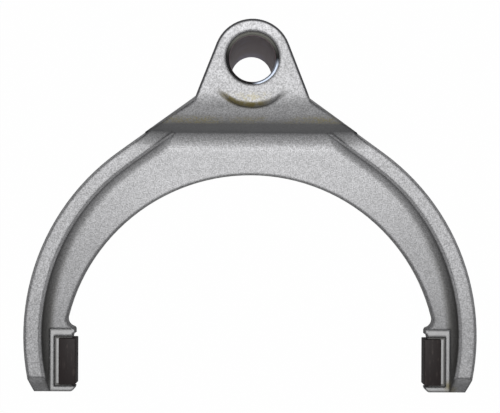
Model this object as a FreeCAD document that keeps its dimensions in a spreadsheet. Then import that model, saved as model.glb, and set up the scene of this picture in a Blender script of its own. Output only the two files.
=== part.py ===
import FreeCAD, Part
import math
import os
import Sketcher

from FreeCAD import Placement, Rotation, Vector

# Shift fork, laid on its back: +Z points up, away from the surface that it lies on, and +Y points
# from the arms to the hub. The origin is on the axis of the shift rail, in the middle plane of the
# arms. Casting and bush are drawn up from the plane of the back and then lowered to that origin.
SIZES = {
    # Rail bore and its bush
    "rail_diameter": 20.0,
    "rail_clearance": 0.02,
    "bush_wall": 1.5,
    "bush_recess": 3.0,
    "bush_chamfer": 0.6,
    "bush_seat_gap": 0.005,
    # Hub round the rail
    "hub_radius": 16.6,
    "hub_height": 66.0,
    "bore_chamfer": 0.4,
    "boss_radius": 21.1,
    "boss_edge": 2.3,
    "boss_spread": 110.0,
    # Lug that carries the hub on the arms
    "flank_angle": 21.5,
    "shoulder_angle": 35.8,
    "lug_reach": 38.0,
    "lug_inset": 6.6,
    "taper_gap": 1.0,
    "lug_flare": 30.0,
    "shoulder_depth": 15.0,
    "crest_start": 12.5,
    "crest_radius": 15.0,
    "lug_draft": 2.5,
    "toe_radius": 8.0,
    "back_toe_radius": 5.0,
    # Arms: a web with a rib along its outer edge
    "shoulder_gap": 6.149,
    "arm_radius": 108.1,
    "arm_rise": 13.3,
    "arm_width": 16.7,
    "relief_drop": 1.0,
    "rib_width": 8.6,
    "rib_height": 22.0,
    "rib_foot": 4.0,
    "rib_edge": 1.2,
    "rib_end_chamfer": 8.4,
    "web_thickness": 7.0,
    "web_edge": 0.6,
    # Tips: machined lands with a framed pocket on each side
    "pad_reach": 7.1,
    "tip_setback": 0.6,
    "tongue_setback": 1.7,
    "land_width": 12.5,
    "land_depth": 0.7,
    "upper_bar": 3.5,
    "lower_bar": 2.5,
    "pocket_depth": 1.0,
    "notch_radius": 4.0,
    "nub_radius": 1.5,
    "tip_radius": 2.4,
    # Slipper pads
    "pad_length": 22.4,
    "pad_width": 8.1,
    "pad_thickness": 8.6,
    "pad_end_gap": 1.0,
    "pad_side_gap": 2.5,
    "pad_seat_gap": 0.05,
    "pad_edge": 0.4,
    # How far the outlines of cuts run on past the metal
    "overcut": 1.0,
}
NEARLY = 0.01

doc = FreeCAD.newDocument("ShiftFork")
sheet = doc.addObject("Spreadsheet::Sheet", "Sizes")
for row, (alias, value) in enumerate(SIZES.items(), start=1):
    sheet.set(f"A{row}", alias)
    sheet.set(f"B{row}", str(value))
    sheet.setAlias(f"B{row}", alias)
doc.recompute()

# Places that several pieces share, written once as expressions of the sheet's sizes
ARM_CENTRE = "((Sizes.arm_radius - Sizes.shoulder_gap) / cos(Sizes.shoulder_angle))"
SLEEVE_AXIS = f"({ARM_CENTRE} + Sizes.arm_rise)"
RELIEF_RADIUS = "(Sizes.arm_radius - Sizes.arm_width)"
PAD_FACE = f"({RELIEF_RADIUS} - Sizes.pad_reach)"
WEB_FRONT = "((Sizes.rib_height + Sizes.web_thickness) / 2)"
WEB_BACK = "((Sizes.rib_height - Sizes.web_thickness) / 2)"
MID_PLANE = "(Sizes.rib_height / 2)"
CREST_END = "(Sizes.crest_start + Sizes.crest_radius)"
CASTING_BORE = "(Sizes.rail_diameter / 2 + Sizes.rail_clearance + Sizes.bush_wall + Sizes.bush_seat_gap)"
BAR_END = f"({PAD_FACE} + Sizes.tip_setback)"
TONGUE_END = f"({PAD_FACE} + Sizes.tongue_setback)"
LAND_SIDE = f"({PAD_FACE} + Sizes.land_width)"
RELIEF_CENTRE = f"({SLEEVE_AXIS} + Sizes.relief_drop)"
RIB_HALF = "Sizes.rib_width / 2"
RIB_MIDDLE = f"(Sizes.arm_radius - {RIB_HALF})"
POCKET_TOP = f"({SLEEVE_AXIS} - Sizes.pad_length / 2 - Sizes.pad_end_gap)"
POCKET_BOTTOM = f"({SLEEVE_AXIS} + Sizes.pad_length / 2 + Sizes.pad_end_gap)"
POCKET_WALL = f"({PAD_FACE} + Sizes.pad_width + Sizes.pad_side_gap)"
LAND_TOP = f"({POCKET_TOP} - Sizes.upper_bar)"
NUB_DOWN = f"({LAND_TOP} + Sizes.nub_radius / 2)"
TAIL = f"({POCKET_BOTTOM} + Sizes.lower_bar)"
LAND_HALF = "(Sizes.web_thickness / 2 - Sizes.land_depth)"
TONGUE = f"(2 * {LAND_HALF} - 2 * Sizes.pocket_depth)"
PAD_BACK = f"({PAD_FACE} + Sizes.pad_width)"
SLOT_HALF = f"({TONGUE} / 2 + Sizes.pad_seat_gap)"
SLOT_BED = f"({TONGUE_END} - Sizes.pad_seat_gap)"
BUSH_INSIDE = "(Sizes.rail_diameter / 2 + Sizes.rail_clearance)"
BUSH_OUTSIDE = f"({BUSH_INSIDE} + Sizes.bush_wall)"
BUSH_TOP = "(Sizes.hub_height - Sizes.bush_recess)"
ROOT_TOP = "(Sizes.rib_height + Sizes.toe_radius)"
TAPER_START = "(Sizes.rib_height + Sizes.taper_gap)"
OVERCUT = "Sizes.overcut"
ROOT_CUT_TOP = f"({ROOT_TOP} + {OVERCUT})"
ROOT_CUT_FACE = (f"({CREST_END} - Sizes.crest_radius * (1 - cos(Sizes.lug_draft))"
                 f" + (Sizes.hub_height - Sizes.crest_radius * (1 - sin(Sizes.lug_draft)) - {ROOT_CUT_TOP})"
                 " * tan(Sizes.lug_draft))")
OVER_HUB = f"(Sizes.hub_height + {OVERCUT})"
PAST_LUG = "(Sizes.lug_reach + Sizes.shoulder_depth)"
FLANK_TOP = "Sizes.hub_radius * sin(Sizes.flank_angle)"
SHOULDER_RUN = (f"(Sizes.arm_radius * sin(Sizes.shoulder_angle + Sizes.flank_angle)"
                f" - {ARM_CENTRE} * sin(Sizes.flank_angle) - Sizes.hub_radius)"
                f" / cos(Sizes.shoulder_angle + Sizes.flank_angle) + {OVERCUT}")
PAST_TAIL = f"({TAIL} + {OVERCUT})"
RIB_HEAD = "(Sizes.crest_start + Sizes.crest_radius / 2)"
RIB_SWEEP = (f"(90 - Sizes.shoulder_angle) * 1 deg"
             f" + asin(({PAST_TAIL} - {ARM_CENTRE}) / Sizes.arm_radius)")
RIB_STRAIGHT = (f"({ARM_CENTRE} - Sizes.arm_radius * cos(Sizes.shoulder_angle) - {RIB_HEAD})"
                " / sin(Sizes.shoulder_angle)")


def value_of(expression):
    """The present value of an expression of the sheet's sizes, in millimetres or degrees."""
    return FreeCAD.Units.Quantity(sheet.evalExpression(expression)).Value


def origin_plane(body, role):
    """The body's own origin plane with the given role."""
    return next(item for item in body.Origin.OriginFeatures if item.Role == role)


def add_sketch(body, name, role="XY_Plane", height="0"):
    """A sketch on one of the body's origin planes, lifted along its normal by height."""
    sketch = body.newObject("Sketcher::SketchObject", name)
    sketch.AttachmentSupport = [(origin_plane(body, role), "")]
    sketch.MapMode = "FlatFace"
    sketch.setExpression("AttachmentOffset.Base.z", height)
    return sketch


def across_arm(body, name):
    """A sketch across an arm where its arc meets the shoulder, out from the arms' centre line."""
    sketch = add_sketch(body, name, role="XZ_Plane", height=ARM_CENTRE)
    sketch.AttachmentOffset = Placement(Vector(), Rotation(Vector(0, 1, 0), 90))
    sketch.setExpression("AttachmentOffset.Rotation.Angle", "90 - Sizes.shoulder_angle")
    return sketch


def line(sketch, start, end):
    """Adds a straight line between two points of the sketch and returns its number."""
    return sketch.addGeometry(Part.LineSegment(Vector(*start, 0), Vector(*end, 0)))


def arc(sketch, centre, radius, start, end):
    """Adds an arc, anticlockwise from one angle to another in degrees, and returns its number."""
    circle = Part.Circle(Vector(*centre, 0), Vector(0, 0, 1), radius)
    return sketch.addGeometry(Part.ArcOfCircle(circle, math.radians(start), math.radians(end)))


def bind(sketch, kind, *where, by):
    """Adds a dimension to the sketch and ties its value to an expression of the sheet's sizes."""
    value = math.radians(value_of(by)) if kind == "Angle" else value_of(by)
    number = sketch.addConstraint(Sketcher.Constraint(kind, *where, value))
    label = f"{kind}_{number}"
    sketch.renameConstraint(number, label)
    sketch.setExpression(f"Constraints.{label}", by)


def rule(sketch, kind, *where):
    """Adds a constraint without a value to the sketch."""
    sketch.addConstraint(Sketcher.Constraint(kind, *where))


def join(sketch, *ends, kind="Coincident"):
    """Joins two ends, each a geometry number and 1 for its start or 2 for its end."""
    rule(sketch, kind, *ends)


def loop(sketch, numbers):
    """Joins lines end to start into a closed outline."""
    for first, second in zip(numbers, numbers[1:] + numbers[:1]):
        join(sketch, first, 2, second, 1)


def arm_point(sketch):
    """A construction point at the common centre of the arms' outer arcs."""
    point = sketch.addGeometry(Part.Point(Vector(0, -value_of(ARM_CENTRE), 0)), True)
    rule(sketch, "PointOnObject", point, 1, -2)
    bind(sketch, "DistanceY", point, 1, -1, 1, by=ARM_CENTRE)
    return point


def shoulder_x(inset, drop):
    """Where a line inset from the straight shoulder stands, at a drop below the rail axis."""
    angle = math.radians(value_of("Sizes.shoulder_angle"))
    reach = value_of(f"Sizes.arm_radius - ({inset})") - value_of(ARM_CENTRE) * math.cos(angle)
    return (reach + drop * math.cos(angle)) / math.sin(angle)


def rectangle(sketch, left, right, low, top):
    """A rectangle right of the sketch's upright axis and below its level one, by expressions."""
    x0, x1, y0, y1 = value_of(left), value_of(right), -value_of(low), -value_of(top)
    sides = [line(sketch, (x0, y0), (x1, y0)), line(sketch, (x1, y0), (x1, y1)),
             line(sketch, (x1, y1), (x0, y1)), line(sketch, (x0, y1), (x0, y0))]
    loop(sketch, sides)
    for side, kind in zip(sides, ("Horizontal", "Vertical", "Horizontal", "Vertical")):
        rule(sketch, kind, side)
    bind(sketch, "DistanceX", -1, 1, sides[0], 1, by=left)
    bind(sketch, "DistanceX", -1, 1, sides[1], 1, by=right)
    bind(sketch, "DistanceY", sides[0], 1, -1, 1, by=low)
    bind(sketch, "DistanceY", sides[2], 1, -1, 1, by=top)
    return sides


def lug_outline(body, name):
    """Half of the lug's lower part seen from the front: hub flank, flare and straight shoulder."""
    sketch = add_sketch(body, name)
    flank, shoulder = (math.radians(value_of(f"Sizes.{part}_angle")) for part in ("flank", "shoulder"))
    hub, bend, foot = value_of("Sizes.hub_radius"), value_of("Sizes.lug_flare"), -value_of("Sizes.lug_reach")
    out_flank = Vector(math.cos(flank), math.sin(flank))
    out_shoulder = Vector(math.sin(shoulder), math.cos(shoulder))
    reach = value_of("Sizes.arm_radius") - value_of(ARM_CENTRE) * math.cos(shoulder)
    across = out_flank.x * out_shoulder.y - out_flank.y * out_shoulder.x
    centre = Vector(((hub + bend) * out_shoulder.y - (reach + bend) * out_flank.y) / across,
                    ((reach + bend) * out_flank.x - (hub + bend) * out_shoulder.x) / across)
    tangent = out_flank * hub
    flare_start = centre - out_flank * bend
    flare_end = centre - out_shoulder * bend
    far = shoulder_x("0", -foot)
    top = line(sketch, (0, tangent.y), (tangent.x, tangent.y))
    side = line(sketch, (tangent.x, tangent.y), (flare_start.x, flare_start.y))
    bend_arc = arc(sketch, (centre.x, centre.y), bend,
                   180 + math.degrees(flank), 270 - math.degrees(shoulder))
    slope = line(sketch, (flare_end.x, flare_end.y), (far, foot))
    base = line(sketch, (far, foot), (0, foot))
    middle = line(sketch, (0, foot), (0, tangent.y))
    join(sketch, top, 2, side, 1)
    join(sketch, side, 2, bend_arc, 1, kind="Tangent")
    join(sketch, bend_arc, 2, slope, 1, kind="Tangent")
    join(sketch, slope, 2, base, 1)
    join(sketch, base, 2, middle, 1)
    join(sketch, middle, 2, top, 1)
    rule(sketch, "Horizontal", top)
    rule(sketch, "Horizontal", base)
    rule(sketch, "PointOnObject", middle, 1, -2)
    rule(sketch, "PointOnObject", middle, 2, -2)
    bind(sketch, "Radius", bend_arc, by="Sizes.lug_flare")
    bind(sketch, "Distance", -1, 1, side, by="Sizes.hub_radius")
    bind(sketch, "Angle", side, by="Sizes.flank_angle - 90")
    bind(sketch, "Angle", slope, by="-Sizes.shoulder_angle")
    bind(sketch, "Distance", arm_point(sketch), 1, slope, by="Sizes.arm_radius")
    bind(sketch, "DistanceY", -1, 1, top, 2, by=FLANK_TOP)
    bind(sketch, "DistanceY", base, 1, -1, 1, by="Sizes.lug_reach")
    return sketch


def flank_outline(body, name):
    """Half of the lug's upper part below the hub, between the middle and the straight flank."""
    sketch = add_sketch(body, name, height=TAPER_START)
    flank = math.radians(value_of("Sizes.flank_angle"))
    hub, head, foot = value_of("Sizes.hub_radius"), value_of(FLANK_TOP), -value_of("Sizes.lug_reach")
    near, far = ((hub - y * math.sin(flank)) / math.cos(flank) for y in (head, foot))
    top = line(sketch, (0, head), (near, head))
    side = line(sketch, (near, head), (far, foot))
    base = line(sketch, (far, foot), (0, foot))
    middle = line(sketch, (0, foot), (0, head))
    loop(sketch, [top, side, base, middle])
    rule(sketch, "Horizontal", top)
    rule(sketch, "Horizontal", base)
    rule(sketch, "PointOnObject", middle, 1, -2)
    rule(sketch, "PointOnObject", middle, 2, -2)
    bind(sketch, "Distance", -1, 1, side, by="Sizes.hub_radius")
    bind(sketch, "Angle", side, by="Sizes.flank_angle - 90")
    bind(sketch, "DistanceY", -1, 1, top, 2, by=FLANK_TOP)
    bind(sketch, "DistanceY", base, 1, -1, 1, by="Sizes.lug_reach")
    return sketch


def shoulder_section(body, name):
    """The lug's upper part cut across the shoulder: its outer side leans in towards the front."""
    sketch = across_arm(body, name)
    out, inset, depth = (value_of(f"Sizes.{part}") for part in ("arm_radius", "lug_inset", "shoulder_depth"))
    low, high = value_of(TAPER_START), value_of("Sizes.hub_height")
    base = line(sketch, (out - depth, low), (out, low))
    side = line(sketch, (out, low), (out - inset, high))
    roof = line(sketch, (out - inset, high), (out - depth, high))
    inner = line(sketch, (out - depth, high), (out - depth, low))
    loop(sketch, [base, side, roof, inner])
    rule(sketch, "Horizontal", base)
    rule(sketch, "Horizontal", roof)
    rule(sketch, "Vertical", inner)
    bind(sketch, "DistanceX", -1, 1, base, 2, by="Sizes.arm_radius")
    bind(sketch, "DistanceX", base, 1, base, 2, by="Sizes.shoulder_depth")
    bind(sketch, "DistanceX", side, 2, side, 1, by="Sizes.lug_inset")
    bind(sketch, "DistanceY", -1, 1, base, 1, by=TAPER_START)
    bind(sketch, "DistanceY", -1, 1, roof, 1, by="Sizes.hub_height")
    return sketch


def front_profile(body, name, floor):
    """What is cut off in front of the lug, seen from its side: crest, steep face and toe."""
    sketch = add_sketch(body, name, role="YZ_Plane")
    start, crest, toe = (value_of(f"Sizes.{part}") for part in ("crest_start", "crest_radius", "toe_radius"))
    top, bottom = value_of("Sizes.hub_height"), value_of(floor)
    high, far = value_of(OVER_HUB), -value_of(PAST_LUG)
    lean = math.radians(value_of("Sizes.lug_draft"))
    crest_end = Vector(-start - crest * math.cos(lean), top - crest + crest * math.sin(lean))
    toe_y = crest_end.x - (toe - math.sin(lean) * (bottom + toe - crest_end.y)) / math.cos(lean)
    toe_top = Vector(toe_y + toe * math.cos(lean), bottom + toe - toe * math.sin(lean))
    crest_arc = arc(sketch, (-start, top - crest), crest, 90, 180 - math.degrees(lean))
    face = line(sketch, (crest_end.x, crest_end.y), (toe_top.x, toe_top.y))
    toe_arc = arc(sketch, (toe_y, bottom + toe), toe, 270, 360 - math.degrees(lean))
    ground = line(sketch, (toe_y, bottom), (far, bottom))
    away = line(sketch, (far, bottom), (far, high))
    over = line(sketch, (far, high), (-start, high))
    back = line(sketch, (-start, high), (-start, top))
    join(sketch, crest_arc, 2, face, 1, kind="Tangent")
    join(sketch, face, 2, toe_arc, 2, kind="Tangent")
    join(sketch, toe_arc, 1, ground, 1, kind="Tangent")
    join(sketch, ground, 2, away, 1)
    join(sketch, away, 2, over, 1)
    join(sketch, over, 2, back, 1)
    join(sketch, back, 2, crest_arc, 1)
    rule(sketch, "Horizontal", ground)
    rule(sketch, "Vertical", away)
    rule(sketch, "Horizontal", over)
    rule(sketch, "Vertical", back)
    rule(sketch, "Vertical", crest_arc, 3, crest_arc, 1)
    bind(sketch, "Radius", crest_arc, by="Sizes.crest_radius")
    bind(sketch, "Radius", toe_arc, by="Sizes.toe_radius")
    bind(sketch, "Angle", face, by="-90 - Sizes.lug_draft")
    bind(sketch, "DistanceX", crest_arc, 1, -1, 1, by="Sizes.crest_start")
    bind(sketch, "DistanceY", -1, 1, crest_arc, 1, by="Sizes.hub_height")
    bind(sketch, "DistanceY", -1, 1, ground, 1, by=floor)
    bind(sketch, "DistanceX", away, 1, -1, 1, by=PAST_LUG)
    bind(sketch, "DistanceY", -1, 1, over, 1, by=OVER_HUB)
    return sketch


def root_profile(body, name):
    """What is cut off over the root of a rib, seen from the side, so that it runs up the lug."""
    sketch = add_sketch(body, name, role="YZ_Plane")
    toe, bottom, high = (value_of(part) for part in ("Sizes.toe_radius", "Sizes.rib_height", ROOT_CUT_TOP))
    near, far = -value_of(ROOT_CUT_FACE), -value_of(PAST_LUG)
    lean = math.radians(value_of("Sizes.lug_draft"))
    toe_y = near - (toe - math.sin(lean) * (bottom + toe - high)) / math.cos(lean)
    toe_top = (toe_y + toe * math.cos(lean), bottom + toe - toe * math.sin(lean))
    face = line(sketch, (near, high), toe_top)
    toe_arc = arc(sketch, (toe_y, bottom + toe), toe, 270, 360 - math.degrees(lean))
    ground = line(sketch, (toe_y, bottom), (far, bottom))
    away = line(sketch, (far, bottom), (far, high))
    over = line(sketch, (far, high), (near, high))
    join(sketch, face, 2, toe_arc, 2, kind="Tangent")
    join(sketch, toe_arc, 1, ground, 1, kind="Tangent")
    join(sketch, ground, 2, away, 1)
    join(sketch, away, 2, over, 1)
    join(sketch, over, 2, face, 1)
    rule(sketch, "Horizontal", ground)
    rule(sketch, "Vertical", away)
    rule(sketch, "Horizontal", over)
    bind(sketch, "Radius", toe_arc, by="Sizes.toe_radius")
    bind(sketch, "Angle", face, by="-90 - Sizes.lug_draft")
    bind(sketch, "DistanceX", face, 1, -1, 1, by=ROOT_CUT_FACE)
    bind(sketch, "DistanceY", -1, 1, over, 1, by=ROOT_CUT_TOP)
    bind(sketch, "DistanceY", -1, 1, ground, 1, by="Sizes.rib_height")
    bind(sketch, "DistanceX", away, 1, -1, 1, by=PAST_LUG)
    return sketch


def back_profile(body, name):
    """What is cut off behind the web, seen from the side: steep face and toe under the lug."""
    sketch = add_sketch(body, name, role="YZ_Plane")
    wall, toe, far = (-value_of(part) for part in (CREST_END, "Sizes.back_toe_radius", PAST_LUG))
    roof, under = value_of(WEB_BACK), -value_of(OVERCUT)
    face = line(sketch, (wall, under), (wall, roof + toe))
    toe_arc = arc(sketch, (wall + toe, roof + toe), -toe, 0, 90)
    ceiling = line(sketch, (wall + toe, roof), (far, roof))
    away = line(sketch, (far, roof), (far, under))
    below = line(sketch, (far, under), (wall, under))
    join(sketch, face, 2, toe_arc, 1, kind="Tangent")
    join(sketch, toe_arc, 2, ceiling, 1, kind="Tangent")
    join(sketch, ceiling, 2, away, 1)
    join(sketch, away, 2, below, 1)
    join(sketch, below, 2, face, 1)
    rule(sketch, "Vertical", face)
    rule(sketch, "Horizontal", ceiling)
    rule(sketch, "Vertical", away)
    rule(sketch, "Horizontal", below)
    bind(sketch, "Radius", toe_arc, by="Sizes.back_toe_radius")
    bind(sketch, "DistanceX", face, 1, -1, 1, by=CREST_END)
    bind(sketch, "DistanceY", -1, 1, ceiling, 1, by=WEB_BACK)
    bind(sketch, "DistanceX", away, 1, -1, 1, by=PAST_LUG)
    bind(sketch, "DistanceY", below, 1, -1, 1, by=OVERCUT)
    return sketch


def root_outline(body, name):
    """Where a rib runs out of the lug: a slanted four-sided patch between its two edges."""
    sketch = add_sketch(body, name, height=MID_PLANE)
    upper, lower = value_of(CREST_END), value_of("Sizes.lug_reach")
    outer_top, outer_foot = (shoulder_x("Sizes.rib_edge", drop) for drop in (upper, lower))
    inner_top, inner_foot = (shoulder_x("Sizes.rib_width - Sizes.rib_edge", drop) for drop in (upper, lower))
    outer = line(sketch, (outer_top, -upper), (outer_foot, -lower))
    foot = line(sketch, (outer_foot, -lower), (inner_foot, -lower))
    inner = line(sketch, (inner_foot, -lower), (inner_top, -upper))
    top = line(sketch, (inner_top, -upper), (outer_top, -upper))
    loop(sketch, [outer, foot, inner, top])
    rule(sketch, "Horizontal", foot)
    rule(sketch, "Horizontal", top)
    rule(sketch, "Parallel", outer, inner)
    bind(sketch, "Angle", outer, by="-Sizes.shoulder_angle")
    centre = arm_point(sketch)
    bind(sketch, "Distance", centre, 1, outer, by="Sizes.arm_radius - Sizes.rib_edge")
    bind(sketch, "Distance", centre, 1, inner, by="Sizes.arm_radius - Sizes.rib_width + Sizes.rib_edge")
    bind(sketch, "DistanceY", foot, 1, -1, 1, by="Sizes.lug_reach")
    bind(sketch, "DistanceY", top, 1, -1, 1, by=CREST_END)
    return sketch


def rib_section(body, name):
    """The rib cut across its run, with bevelled edges and hollow feet on the web."""
    sketch = across_arm(body, name)
    out, wall = value_of("Sizes.arm_radius"), value_of("Sizes.arm_radius - Sizes.rib_width")
    tall, edge, foot = (value_of(f"Sizes.rib_{part}") for part in ("height", "edge", "foot"))
    low, high = value_of(WEB_BACK), value_of(WEB_FRONT)
    back = line(sketch, (wall + edge, 0), (out - edge, 0))
    bevel_a = line(sketch, (out - edge, 0), (out, edge))
    outside = line(sketch, (out, edge), (out, tall - edge))
    bevel_b = line(sketch, (out, tall - edge), (out - edge, tall))
    front = line(sketch, (out - edge, tall), (wall + edge, tall))
    bevel_c = line(sketch, (wall + edge, tall), (wall, tall - edge))
    wall_front = line(sketch, (wall, tall - edge), (wall, high + foot))
    foot_front = arc(sketch, (wall - foot, high + foot), foot, 270, 360)
    root = line(sketch, (wall - foot, high), (wall - foot, low))
    foot_back = arc(sketch, (wall - foot, low - foot), foot, 0, 90)
    wall_back = line(sketch, (wall, low - foot), (wall, edge))
    bevel_d = line(sketch, (wall, edge), (wall + edge, 0))
    for first, second in ((back, bevel_a), (bevel_a, outside), (outside, bevel_b), (bevel_b, front),
                          (front, bevel_c), (bevel_c, wall_front), (wall_back, bevel_d), (bevel_d, back)):
        join(sketch, first, 2, second, 1)
    join(sketch, wall_front, 2, foot_front, 2, kind="Tangent")
    join(sketch, foot_back, 1, wall_back, 1, kind="Tangent")
    join(sketch, foot_front, 1, root, 1)
    join(sketch, root, 2, foot_back, 2)
    rule(sketch, "Horizontal", back)
    rule(sketch, "Horizontal", front)
    rule(sketch, "Vertical", root)
    rule(sketch, "Vertical", outside)
    rule(sketch, "Vertical", wall_front)
    rule(sketch, "Vertical", wall_back)
    rule(sketch, "Vertical", foot_front, 3, foot_front, 1)
    rule(sketch, "Vertical", foot_back, 3, foot_back, 2)
    rule(sketch, "PointOnObject", back, 1, -1)
    for left, right in (((bevel_a, 1), (bevel_a, 2)), ((bevel_b, 2), (bevel_b, 1)),
                        ((bevel_c, 2), (bevel_c, 1)), ((bevel_d, 1), (bevel_d, 2))):
        bind(sketch, "DistanceX", *left, *right, by="Sizes.rib_edge")
    for low_end, high_end in (((bevel_a, 1), (bevel_a, 2)), ((bevel_b, 1), (bevel_b, 2)),
                              ((bevel_c, 2), (bevel_c, 1)), ((bevel_d, 2), (bevel_d, 1))):
        bind(sketch, "DistanceY", *low_end, *high_end, by="Sizes.rib_edge")
    bind(sketch, "Radius", foot_front, by="Sizes.rib_foot")
    bind(sketch, "Radius", foot_back, by="Sizes.rib_foot")
    bind(sketch, "DistanceX", -1, 1, outside, 1, by="Sizes.arm_radius")
    bind(sketch, "DistanceX", wall_front, 1, outside, 2, by="Sizes.rib_width")
    bind(sketch, "DistanceY", -1, 1, front, 1, by="Sizes.rib_height")
    bind(sketch, "DistanceY", -1, 1, root, 1, by=WEB_FRONT)
    bind(sketch, "DistanceY", -1, 1, root, 2, by=WEB_BACK)
    return sketch


def web_outline(body, name):
    """Half of the web seen from the front: inside the rib, round the relief and down to one tip."""
    sketch = add_sketch(body, name, height=WEB_BACK)
    centre, reach = -value_of(ARM_CENTRE), value_of(RIB_MIDDLE)
    turn = math.radians(value_of("Sizes.shoulder_angle"))
    top, tail, tip = -value_of(CREST_END), -value_of(TAIL), value_of(BAR_END)
    relief, relief_y = value_of(RELIEF_RADIUS), -value_of(RELIEF_CENTRE)
    notch, nub = value_of("Sizes.notch_radius"), value_of("Sizes.nub_radius")
    low = math.asin((tail - centre) / reach)
    # The notch touches the relief from inside and the nub from outside
    nub_at = Vector(tip + nub, -value_of(NUB_DOWN))
    across = nub_at - Vector(0, relief_y)
    gap, far = relief - notch, across.Length
    along = (gap ** 2 - (notch + nub) ** 2 + far ** 2) / (2 * far)
    aside = math.sqrt(gap ** 2 - along ** 2)
    notch_at = Vector(0, relief_y) + across * (along / far) + Vector(-across.y, across.x) * (aside / far)
    notch_turn = math.degrees(math.atan2(notch_at.y - relief_y, notch_at.x))
    nub_turn = math.degrees(math.atan2(nub_at.y - notch_at.y, nub_at.x - notch_at.x))
    upper = line(sketch, (0, top), (shoulder_x(RIB_HALF, -top), top))
    slope = line(sketch, (shoulder_x(RIB_HALF, -top), top),
                 (reach * math.sin(turn), centre + reach * math.cos(turn)))
    outer = arc(sketch, (0, centre), reach, math.degrees(low), 90 - math.degrees(turn))
    bottom = line(sketch, (reach * math.cos(low), tail), (tip, tail))
    inner = line(sketch, (tip, tail), (tip, nub_at.y))
    nub_arc = arc(sketch, (nub_at.x, nub_at.y), nub, 180 + nub_turn, 180)
    notch_arc = arc(sketch, (notch_at.x, notch_at.y), notch, nub_turn, notch_turn)
    relief_arc = arc(sketch, (0, relief_y), relief, notch_turn, 90)
    middle = line(sketch, (0, relief_y + relief), (0, top))
    join(sketch, upper, 2, slope, 1)
    join(sketch, slope, 2, outer, 2, kind="Tangent")
    join(sketch, outer, 1, bottom, 1)
    join(sketch, bottom, 2, inner, 1)
    join(sketch, inner, 2, nub_arc, 2, kind="Tangent")
    join(sketch, nub_arc, 1, notch_arc, 1, kind="Tangent")
    join(sketch, notch_arc, 2, relief_arc, 1, kind="Tangent")
    join(sketch, relief_arc, 2, middle, 1)
    join(sketch, middle, 2, upper, 1)
    rule(sketch, "Horizontal", upper)
    rule(sketch, "Horizontal", bottom)
    rule(sketch, "Vertical", inner)
    rule(sketch, "PointOnObject", middle, 1, -2)
    rule(sketch, "PointOnObject", middle, 2, -2)
    rule(sketch, "PointOnObject", outer, 3, -2)
    rule(sketch, "PointOnObject", relief_arc, 3, -2)
    bind(sketch, "Radius", outer, by=RIB_MIDDLE)
    bind(sketch, "Radius", relief_arc, by=RELIEF_RADIUS)
    bind(sketch, "Radius", notch_arc, by="Sizes.notch_radius")
    bind(sketch, "Radius", nub_arc, by="Sizes.nub_radius")
    bind(sketch, "Angle", slope, by="-Sizes.shoulder_angle")
    bind(sketch, "DistanceX", -1, 1, inner, 1, by=BAR_END)
    bind(sketch, "DistanceY", outer, 3, -1, 1, by=ARM_CENTRE)
    bind(sketch, "DistanceY", relief_arc, 3, -1, 1, by=RELIEF_CENTRE)
    bind(sketch, "DistanceY", upper, 1, -1, 1, by=CREST_END)
    bind(sketch, "DistanceY", bottom, 1, -1, 1, by=TAIL)
    bind(sketch, "DistanceY", nub_arc, 3, -1, 1, by=NUB_DOWN)
    return sketch


def end_chamfer(body, name):
    """What the chamfers take off the ends of the ribs, seen from the side, front and back."""
    sketch = add_sketch(body, name, role="YZ_Plane")
    cut, tail, beyond = value_of("Sizes.rib_end_chamfer"), -value_of(TAIL), -value_of(PAST_TAIL)
    over = value_of(PAST_TAIL) - value_of(TAIL)
    top = value_of("Sizes.rib_height")
    for start, corner, far in ((top - cut - over, top + over, "high"), (cut + over, -over, "low")):
        upright = line(sketch, (beyond, start), (beyond, corner))
        level = line(sketch, (beyond, corner), (tail + cut + over, corner))
        slant = line(sketch, (tail + cut + over, corner), (beyond, start))
        loop(sketch, [upright, level, slant])
        rule(sketch, "Vertical", upright)
        rule(sketch, "Horizontal", level)
        rule(sketch, "Equal", upright, level)
        bind(sketch, "DistanceX", upright, 1, -1, 1, by=PAST_TAIL)
        bind(sketch, "DistanceX", level, 2, -1, 1, by=f"{TAIL} - Sizes.rib_end_chamfer - {OVERCUT}")
        if far == "high":
            bind(sketch, "DistanceY", -1, 1, level, 1, by=f"Sizes.rib_height + {OVERCUT}")
        else:
            bind(sketch, "DistanceY", level, 1, -1, 1, by=OVERCUT)
    return sketch


def disc(body, name, radius):
    """A circle round the rail axis, in the plane of the back."""
    sketch = add_sketch(body, name)
    circle = sketch.addGeometry(Part.Circle(Vector(), Vector(0, 0, 1), value_of(radius)))
    join(sketch, circle, 3, -1, 1)
    bind(sketch, "Radius", circle, by=radius)
    return sketch


def boss_profile(body, name):
    """The boss seen from the side, from inside the hub to its rounded upper edge."""
    sketch = add_sketch(body, name, role="YZ_Plane")
    near, far = -value_of("Sizes.hub_radius"), -value_of("Sizes.boss_radius")
    top, edge = value_of("Sizes.hub_height"), value_of("Sizes.boss_edge")
    base = line(sketch, (near, 0), (far, 0))
    wall = line(sketch, (far, 0), (far, top - edge))
    corner = arc(sketch, (far + edge, top - edge), edge, 90, 180)
    roof = line(sketch, (far + edge, top), (near, top))
    inner = line(sketch, (near, top), (near, 0))
    join(sketch, base, 2, wall, 1)
    join(sketch, wall, 2, corner, 2, kind="Tangent")
    join(sketch, corner, 1, roof, 1, kind="Tangent")
    join(sketch, roof, 2, inner, 1)
    join(sketch, inner, 2, base, 1)
    rule(sketch, "PointOnObject", base, 1, -1)
    rule(sketch, "Horizontal", base)
    rule(sketch, "Vertical", wall)
    rule(sketch, "Horizontal", roof)
    rule(sketch, "Vertical", inner)
    bind(sketch, "Radius", corner, by="Sizes.boss_edge")
    bind(sketch, "DistanceX", base, 1, -1, 1, by="Sizes.hub_radius")
    bind(sketch, "DistanceX", wall, 1, -1, 1, by="Sizes.boss_radius")
    bind(sketch, "DistanceY", -1, 1, roof, 1, by="Sizes.hub_height")
    return sketch


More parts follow.
